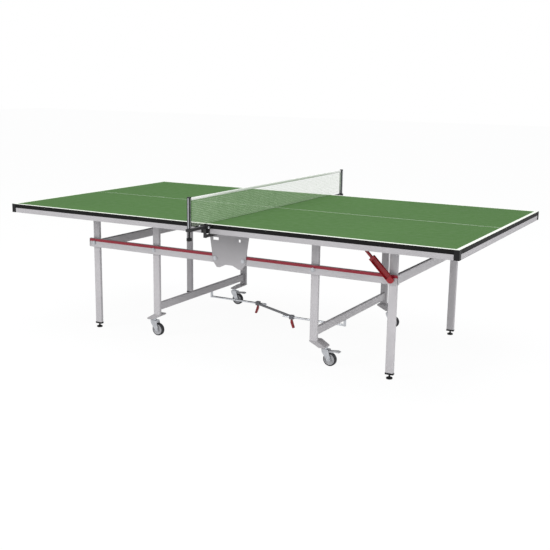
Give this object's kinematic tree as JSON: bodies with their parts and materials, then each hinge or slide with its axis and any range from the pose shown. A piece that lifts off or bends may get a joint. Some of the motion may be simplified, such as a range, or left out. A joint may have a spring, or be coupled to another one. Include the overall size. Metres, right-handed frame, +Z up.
{
  "type": "folding table-tennis table",
  "caption": "Folding table-tennis table: two green halves with white lines on a grey castored frame, with net, side rails and red levers.",
  "frame": {"origin": "on the floor below the middle of the table", "axes": "+Z up, +X along the table's length, -Y towards the near side, the net lies in the YZ plane"},
  "size_m": [2.744, 1.858, 0.9165],
  "materials": {
    "playing_board": "matt green lacquer with white lines",
    "apron_steel": "satin light grey powder coat",
    "corner_plastic": "moulded black",
    "frame_steel": "satin light grey powder coat",
    "rail_steel": "satin light grey powder coat with a red stripe",
    "plate_steel": "satin grey powder coat",
    "pin_steel": "zinc plated",
    "bracket_grey": "grey cast bracket",
    "fork_steel": "zinc plated pressing",
    "wheel_tyre": "soft black tread",
    "wheel_hub": "moulded light grey",
    "pedal_plastic": "moulded black",
    "foot_rubber": "moulded black",
    "lever_red": "gloss red",
    "rod_steel": "zinc plated",
    "link_black": "dark grey powder coat",
    "net_mesh": "woven mesh with a white top band",
    "post_black": "black powder coat"
  },
  "bodies": {
    "trolley_left": {"trolley_posts_left": "frame_steel", "trolley_crossbar_left": "frame_steel", "castor_brackets_left": "bracket_grey", "tie_rod_left": "rod_steel"},
    "runner_left": {"runners_left": "frame_steel", "runner_pins_left": "pin_steel"},
    "top_left": {"board_left": "playing_board", "apron_left": "apron_steel", "corner_guards_left": "corner_plastic", "slide_saddles_left": "corner_plastic"},
    "leg_left": {"leg_tubes_left": "frame_steel", "leg_crossbar_left": "frame_steel", "leg_caps_left": "corner_plastic"},
    "rail_left": {"rails_left": "rail_steel"},
    "safety_lever_left": {"safety_lever_left": "lever_red"},
    "release_lever_left": {"release_lever_left": "lever_red"},
    "castor_near_left": {"castor_fork_near_left": "fork_steel"},
    "wheel_near_left": {"castor_hub_near_left": "wheel_hub", "castor_tyre_near_left": "wheel_tyre"},
    "foot_near_left": {"levelling_foot_near_left": "foot_rubber"},
    "castor_far_left": {"castor_fork_far_left": "fork_steel"},
    "wheel_far_left": {"castor_hub_far_left": "wheel_hub", "castor_tyre_far_left": "wheel_tyre"},
    "foot_far_left": {"levelling_foot_far_left": "foot_rubber"},
    "trolley_right": {"trolley_posts_right": "frame_steel", "trolley_crossbar_right": "frame_steel", "castor_brackets_right": "bracket_grey", "tie_rod_right": "rod_steel"},
    "runner_right": {"runners_right": "frame_steel", "runner_pins_right": "pin_steel"},
    "top_right": {"board_right": "playing_board", "apron_right": "apron_steel", "corner_guards_right": "corner_plastic", "slide_saddles_right": "corner_plastic"},
    "leg_right": {"leg_tubes_right": "frame_steel", "leg_crossbar_right": "frame_steel", "leg_caps_right": "corner_plastic"},
    "rail_right": {"rails_right": "rail_steel"},
    "safety_lever_right": {"safety_lever_right": "lever_red"},
    "release_lever_right": {"release_lever_right": "lever_red"},
    "castor_near_right": {"castor_fork_near_right": "fork_steel"},
    "wheel_near_right": {"castor_hub_near_right": "wheel_hub", "castor_tyre_near_right": "wheel_tyre"},
    "foot_near_right": {"levelling_foot_near_right": "foot_rubber"},
    "castor_far_right": {"castor_fork_far_right": "fork_steel"},
    "wheel_far_right": {"castor_hub_far_right": "wheel_hub", "castor_tyre_far_right": "wheel_tyre"},
    "foot_far_right": {"levelling_foot_far_right": "foot_rubber"},
    "pedal_near_right": {"brake_pedal_near_right": "pedal_plastic"},
    "pedal_far_left": {"brake_pedal_far_left": "pedal_plastic"},
    "centre": {"centre_plate_near": "plate_steel", "centre_plate_far": "plate_steel", "centre_tie_tube": "frame_steel", "net_bracket_near": "post_black", "net_bracket_far": "post_black"},
    "link_bar": {"sliding_link_bar": "link_black"},
    "net": {"net_posts": "post_black", "net_panel": "net_mesh"},
    "knob_near": {"net_knob_near": "corner_plastic"},
    "knob_far": {"net_knob_far": "corner_plastic"}
  },
  "joints": [
    {"name": "fold", "type": "hinge", "parent": "trolley_left", "child": "runner_left", "pos_m": [-0.515, 0, 0.712], "axis": [0, 1, 0], "range_deg": [0, 76]},
    {"name": "centre_swing", "type": "hinge", "parent": "runner_left", "child": "centre", "pos_m": [-0.09, 0, 0.712], "axis": [0, -1, 0], "range_deg": [0, 76]},
    {"name": "fold_right", "type": "hinge", "parent": "centre", "child": "runner_right", "pos_m": [0.09, 0, 0.712], "axis": [0, -1, 0], "range_deg": [0, 76]},
    {"name": "trolley_swing", "type": "hinge", "parent": "runner_right", "child": "trolley_right", "pos_m": [0.515, 0, 0.712], "axis": [0, 1, 0], "range_deg": [0, 76]},
    {"name": "leg_swing_left", "type": "hinge", "parent": "runner_left", "child": "leg_left", "pos_m": [-0.955, 0, 0.712], "axis": [0, -1, 0], "range_deg": [0, 76]},
    {"name": "top_slide_left", "type": "slide", "parent": "runner_left", "child": "top_left", "axis": [-1, 0, 0], "range_m": [0, 0.05]},
    {"name": "rail_swing_left", "type": "hinge", "parent": "centre", "child": "rail_left", "pos_m": [-0.09, 0, 0.53], "axis": [0, 1, 0], "range_deg": [0, 76]},
    {"name": "safety_lever_swing_left", "type": "hinge", "parent": "rail_left", "child": "safety_lever_left", "pos_m": [-0.955, 0, 0.53], "axis": [0, 1, 0], "range_deg": [0, 38.5]},
    {"name": "leg_swing_right", "type": "hinge", "parent": "runner_right", "child": "leg_right", "pos_m": [0.955, 0, 0.712], "axis": [0, 1, 0], "range_deg": [0, 76]},
    {"name": "top_slide_right", "type": "slide", "parent": "runner_right", "child": "top_right", "axis": [1, 0, 0], "range_m": [0, 0.05]},
    {"name": "rail_swing_right", "type": "hinge", "parent": "centre", "child": "rail_right", "pos_m": [0.09, 0, 0.53], "axis": [0, -1, 0], "range_deg": [0, 76]},
    {"name": "safety_lever_swing_right", "type": "hinge", "parent": "rail_right", "child": "safety_lever_right", "pos_m": [0.955, 0, 0.53], "axis": [0, -1, 0], "range_deg": [0, 38.5]},
    {"name": "link_slide", "type": "slide", "parent": "trolley_left", "child": "link_bar", "axis": [-1, 0, 0], "range_m": [0, 0.335]},
    {"name": "release_swing_left", "type": "hinge", "parent": "link_bar", "child": "release_lever_left", "pos_m": [-0.17, 0.095, 0.1127], "axis": [0, 1, 0], "range_deg": [0, 18], "stiffness_Nm_per_rad": 0.4, "springref_deg": -11.46},
    {"name": "release_swing_right", "type": "hinge", "parent": "link_bar", "child": "release_lever_right", "pos_m": [0.17, -0.095, 0.1127], "axis": [0, -1, 0], "range_deg": [0, 18], "stiffness_Nm_per_rad": 0.4, "springref_deg": -11.46},
    {"name": "swivel_near_left", "type": "hinge", "parent": "trolley_left", "child": "castor_near_left", "pos_m": [-0.567, -0.457, 0.1], "axis": [0, 0, 1], "continuous": true},
    {"name": "roll_near_left", "type": "hinge", "parent": "castor_near_left", "child": "wheel_near_left", "pos_m": [-0.537, -0.457, 0.0375], "axis": [0, 1, 0], "continuous": true},
    {"name": "foot_screw_near_left", "type": "slide", "parent": "leg_left", "child": "foot_near_left", "axis": [0, 0, -1], "range_m": [0, 0.012]},
    {"name": "swivel_far_left", "type": "hinge", "parent": "trolley_left", "child": "castor_far_left", "pos_m": [-0.567, 0.457, 0.1], "axis": [0, 0, 1], "continuous": true},
    {"name": "roll_far_left", "type": "hinge", "parent": "castor_far_left", "child": "wheel_far_left", "pos_m": [-0.537, 0.457, 0.0375], "axis": [0, 1, 0], "continuous": true},
    {"name": "foot_screw_far_left", "type": "slide", "parent": "leg_left", "child": "foot_far_left", "axis": [0, 0, -1], "range_m": [0, 0.012]},
    {"name": "brake_far_left", "type": "hinge", "parent": "castor_far_left", "child": "pedal_far_left", "pos_m": [-0.543, 0.457, 0.081], "axis": [0, 1, 0], "range_deg": [0, 8]},
    {"name": "swivel_near_right", "type": "hinge", "parent": "trolley_right", "child": "castor_near_right", "pos_m": [0.567, -0.457, 0.1], "axis": [0, 0, 1], "continuous": true},
    {"name": "roll_near_right", "type": "hinge", "parent": "castor_near_right", "child": "wheel_near_right", "pos_m": [0.597, -0.457, 0.0375], "axis": [0, 1, 0], "continuous": true},
    {"name": "foot_screw_near_right", "type": "slide", "parent": "leg_right", "child": "foot_near_right", "axis": [0, 0, -1], "range_m": [0, 0.012]},
    {"name": "brake_near_right", "type": "hinge", "parent": "castor_near_right", "child": "pedal_near_right", "pos_m": [0.591, -0.457, 0.081], "axis": [0, 1, 0], "range_deg": [0, 8]},
    {"name": "swivel_far_right", "type": "hinge", "parent": "trolley_right", "child": "castor_far_right", "pos_m": [0.567, 0.457, 0.1], "axis": [0, 0, 1], "continuous": true},
    {"name": "roll_far_right", "type": "hinge", "parent": "castor_far_right", "child": "wheel_far_right", "pos_m": [0.597, 0.457, 0.0375], "axis": [0, 1, 0], "continuous": true},
    {"name": "foot_screw_far_right", "type": "slide", "parent": "leg_right", "child": "foot_far_right", "axis": [0, 0, -1], "range_m": [0, 0.012]},
    {"name": "net_lift", "type": "slide", "parent": "centre", "child": "net", "axis": [0, 0, 1], "range_m": [0, 0.1]},
    {"name": "knob_turn_near", "type": "hinge", "parent": "centre", "child": "knob_near", "pos_m": [0, -0.915, 0.7], "axis": [0, 0, 1], "continuous": true},
    {"name": "knob_turn_far", "type": "hinge", "parent": "centre", "child": "knob_far", "pos_m": [0, 0.915, 0.7], "axis": [0, 0, 1], "continuous": true}
  ],
  "couplings": [
    {"joint": "centre_swing", "follows": "fold", "ratio": 1},
    {"joint": "fold_right", "follows": "fold", "ratio": 1},
    {"joint": "trolley_swing", "follows": "fold", "ratio": 1},
    {"joint": "leg_swing_left", "follows": "fold", "ratio": 1},
    {"joint": "top_slide_left", "follows": "fold", "m_per_rad": 0.0355},
    {"joint": "rail_swing_left", "follows": "fold", "ratio": 1},
    {"joint": "safety_lever_swing_left", "follows": "fold", "ratio": 0.5},
    {"joint": "leg_swing_right", "follows": "fold", "ratio": 1},
    {"joint": "top_slide_right", "follows": "fold", "m_per_rad": 0.0355},
    {"joint": "rail_swing_right", "follows": "fold", "ratio": 1},
    {"joint": "safety_lever_swing_right", "follows": "fold", "ratio": 0.5},
    {"joint": "link_slide", "follows": "fold", "m_per_rad": 0.2427}
  ]
}
